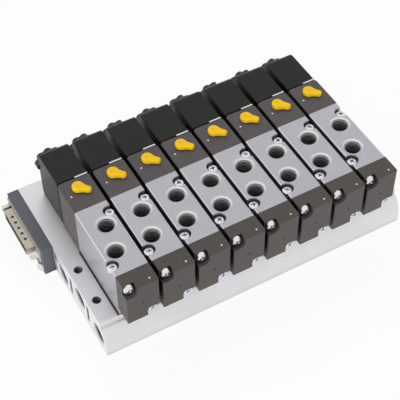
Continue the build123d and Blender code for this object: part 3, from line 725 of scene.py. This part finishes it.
def ball(point, radius):
    """A ball cutter at a point, in mm."""
    angles = [math.radians(15 * n - 90) for n in range(1, 12)]
    profile = [(radius * math.cos(a), radius * math.sin(a)) for a in angles]
    piece = turned("ball", [(0, -radius), *profile, (0, radius)], 20)
    piece.data.transform(Matrix.Translation(Vector(point) * MM))
    return piece


DIMPLES, DIMPLE_PITCH = 5, 5.4
DIMPLE_RADIUS, DIMPLE_DEPTH, DIMPLE_WALL = 1.1, 0.8, 0.25
FLANGE_THICKNESS = 1.0
shroud = merged_copy("dsub_shell", "connector_shroud")
shroud_middle = (low("dsub_shell", "x") + high("dsub_shell", "x") - FLANGE_THICKNESS) / 2
shroud_points = [v.co for v in shroud.data.vertices if v.co.x < shroud_middle * MM]
shroud_face = max(point.z for point in shroud_points) / MM - shell_z
ball_rise = DIMPLE_RADIUS - DIMPLE_DEPTH
dimple_places = [(shroud_middle, shell_y + (n - DIMPLES // 2) * DIMPLE_PITCH, side)
                 for n in range(DIMPLES) for side in (-1, 1)]
middle_of_wall = DIMPLE_RADIUS + DIMPLE_WALL / 2
dimple_balls = [ball((x, y, shell_z + side * (shroud_face + ball_rise)), middle_of_wall)
                for x, y, side in dimple_places]
smooth_by_angle(cut(shroud, *dimple_balls), 30)
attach(shroud, "island")
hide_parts("dsub_shell")
print("shroud face at", round(shroud_face, 2), "faces:", len(shroud.data.polygons))


# %% The cups that close the dimples
OUTER_STOP, INNER_STOP = 74, 71


def bowl(radius, stop, steps=8):
    """Points on a ball's lower side from its pole up to an angle, as (radius, height)."""
    angles = [math.radians(stop) * n / steps for n in range(steps + 1)]
    return [(radius * math.sin(a), ball_rise - radius * math.cos(a)) for a in angles]


outside, inside = bowl(DIMPLE_RADIUS + DIMPLE_WALL, OUTER_STOP), bowl(DIMPLE_RADIUS, INNER_STOP)
cup_profile = outside + inside[::-1]
cup = smooth_by_angle(turned("cup", cup_profile, 20), 60)
cup_spots = [((x, y, shell_z + side * shroud_face), (0, 0, side)) for x, y, side in dimple_places]
# The cups' tin is darker than the shell's: painted shade in the hollow of each dimple.
dimple_shade_finish = finish(
    "pressed_tin_painted_shade", srgb(104, 99, 92), 0.40, metallic=0.85, mottle=(2, 0.08), grain=(0.3, 0.004),
    edge=0.1, wear=1.1, reach=2)
cups = copies("shroud_dimples", [cup], [cup_spots], dimple_shade_finish)

# %% [markdown]
# ## Paint dots
# A white dot beside each lever marks where it ends its quarter turn, and one on each cap marks
# the second outlet's end. They are thin domes of paint, so they are turned like the pins and
# copied to each valve. The same small dome makes the pale gate marks on a pilot head's side and,
# in black, the witness marks low on a valve body's side and on a cap's front.

# %% Dots
paint_finish = finish(
    "white_paint", srgb(238, 236, 230), 0.4, mottle=(1, 0.03), grain=(0.3, 0.004), vary=0.05,
    edge=0.05, wear=1.02)


def dome(radius):
    """A thin dome of paint or plastic on a face."""
    crown = [(0.97 * radius, 0.03), (0.73 * radius, 0.06), (0, 0.08)]
    profile = [(0, -0.02), (radius, -0.02), *crown]
    return smooth_by_angle(turned("dot", profile, 16), 80)


LEVER_DOT, CAP_DOT, DOT_RADIUS = (-7.2, 41.6), (6.5, -39.1), 0.62
dot_spots = at_stations([((x, y, BODY_TOP), UP) for x, y in (LEVER_DOT, CAP_DOT)])
dots = copies("paint_dots", [dome(DOT_RADIUS)], [dot_spots], paint_finish)

# %% Small moulding and witness marks
GATE_Y, GATE_LEVELS, GATE_RADIUS = 45, (45, 41), 0.35
pilot_side = low("pilot_head_1", "x") - CENTRES[0]
gate_spots = at_stations([((pilot_side, GATE_Y, z), LEFT) for z in GATE_LEVELS])
gates = copies("gate_marks", [dome(GATE_RADIUS)], [gate_spots], paint_finish)

WITNESS_Y, WITNESS_LEVEL, WITNESS_RADIUS = (13.2, -5.7), 32, 0.8
CAP_WITNESS_X, CAP_WITNESS_LEVEL = -0.1, 49
cap_spot = ((CAP_WITNESS_X, low("end_cap_1", "y"), CAP_WITNESS_LEVEL), FRONT)
body_spots = [((-BODY_SIDE, y, WITNESS_LEVEL), LEFT) for y in WITNESS_Y]
witness_spots = at_stations([*body_spots, cap_spot])
witnesses = copies("witness_marks", [dome(WITNESS_RADIUS)], [witness_spots], rubber_finish)

# %% [markdown]
# ## Floor and light
# The island stands on a pale sweep under soft light. A ray from the camera, or from glossy metal,
# sees the floor mostly as plain white, so the background stays white without more light on the
# object, while the rest of the floor's colour keeps the soft shadow. A low lamp at the left and
# one at the front light the side faces, and one above and behind gives the tops their tone. The
# lamps don't show in reflections, so flat metal has no hot spots.

# %% Floor
FLOOR_HALF, FLOOR_DROP = 6.0, 0.0001
square = ((-1, -1), (1, -1), (1, 1), (-1, 1))
floor_corners = [(x * FLOOR_HALF, y * FLOOR_HALF, 0) for x, y in square]
floor = make_object("floor", floor_corners, [(0, 1, 2, 3)])
floor.location.z = -FLOOR_DROP
print("floor of", 2 * FLOOR_HALF, "m")


# %% Paper for the floor
WHITE_SHARE, PAPER_TONE, PAPER_ROUGHNESS = 0.92, 0.9, 0.9
WHITE = (1, 1, 1, 1)


def sight(tree):
    """1 for a ray that shows the background: seen straight, in a reflection or through glass."""
    rays = tree.nodes.new("ShaderNodeLightPath")
    total = rays.outputs["Is Camera Ray"]
    for kind in ("Is Glossy Ray", "Is Transmission Ray"):
        either = tree.nodes.new("ShaderNodeMath")
        either.operation = "MAXIMUM"
        tree.links.new(total, either.inputs[0])
        tree.links.new(rays.outputs[kind], either.inputs[1])
        total = either.outputs["Value"]
    return total


paper = bpy.data.materials.new("white_paper")
paper.use_nodes = True
tree = paper.node_tree
matt = tree.nodes["Principled BSDF"]
matt.inputs["Base Color"].default_value = (PAPER_TONE, PAPER_TONE, PAPER_TONE, 1)
matt.inputs["Roughness"].default_value = PAPER_ROUGHNESS
share = tree.nodes.new("ShaderNodeMath")
share.operation = "MULTIPLY"
share.inputs[1].default_value = WHITE_SHARE
glow = tree.nodes.new("ShaderNodeEmission")
glow.inputs["Color"].default_value = WHITE
blend = tree.nodes.new("ShaderNodeMixShader")
tree.links.new(sight(tree), share.inputs[0])
tree.links.new(share.outputs["Value"], blend.inputs["Fac"])
tree.links.new(matt.outputs["BSDF"], blend.inputs[1])
tree.links.new(glow.outputs["Emission"], blend.inputs[2])
tree.links.new(blend.outputs["Shader"], tree.nodes["Material Output"].inputs["Surface"])
floor.data.materials.append(paper)
print("share of plain white:", WHITE_SHARE)

# %% World
SKY_LIGHT = 0.55
world = bpy.data.worlds.new("studio")
scene.world = world
world.use_nodes = True
tree = world.node_tree
sky = tree.nodes["Background"]
sky.inputs["Color"].default_value = WHITE
sky.inputs["Strength"].default_value = SKY_LIGHT
seen = tree.nodes.new("ShaderNodeBackground")
seen.inputs["Color"].default_value = WHITE
blend = tree.nodes.new("ShaderNodeMixShader")
tree.links.new(sight(tree), blend.inputs["Fac"])
tree.links.new(sky.outputs["Background"], blend.inputs[1])
tree.links.new(seen.outputs["Background"], blend.inputs[2])
tree.links.new(blend.outputs["Shader"], tree.nodes["World Output"].inputs["Surface"])
print("sky light:", SKY_LIGHT)


# %% Lamps
LAMP_AIM = (0, 0, 0.04)
LAMPS = {
    "left_lamp": ((-1.75, -0.5, 0.3), 0.6, 14),
    "front_lamp": ((0.0, -1.75, 0.12), 0.6, 8),
    "top_lamp": ((0.3, 1.0, 1.4), 0.8, 8),
}


def soft_lamp(name, place, size, power):
    """A square area lamp at place; the white surround, not the lamp, shows in reflections."""
    lamp = bpy.data.lights.new(name, "AREA")
    lamp.shape = "SQUARE"
    lamp.size = size
    lamp.energy = power
    holder = bpy.data.objects.new(name, lamp)
    turn = (Vector(LAMP_AIM) - Vector(place)).to_track_quat("-Z", "Y").to_matrix().to_4x4()
    holder.matrix_world = Matrix.Translation(place) @ turn
    holder.visible_glossy = False
    scene.collection.objects.link(holder)


for name, (place, size, power) in LAMPS.items():
    soft_lamp(name, place, size, power)
print("lamps:", len(bpy.data.lights))
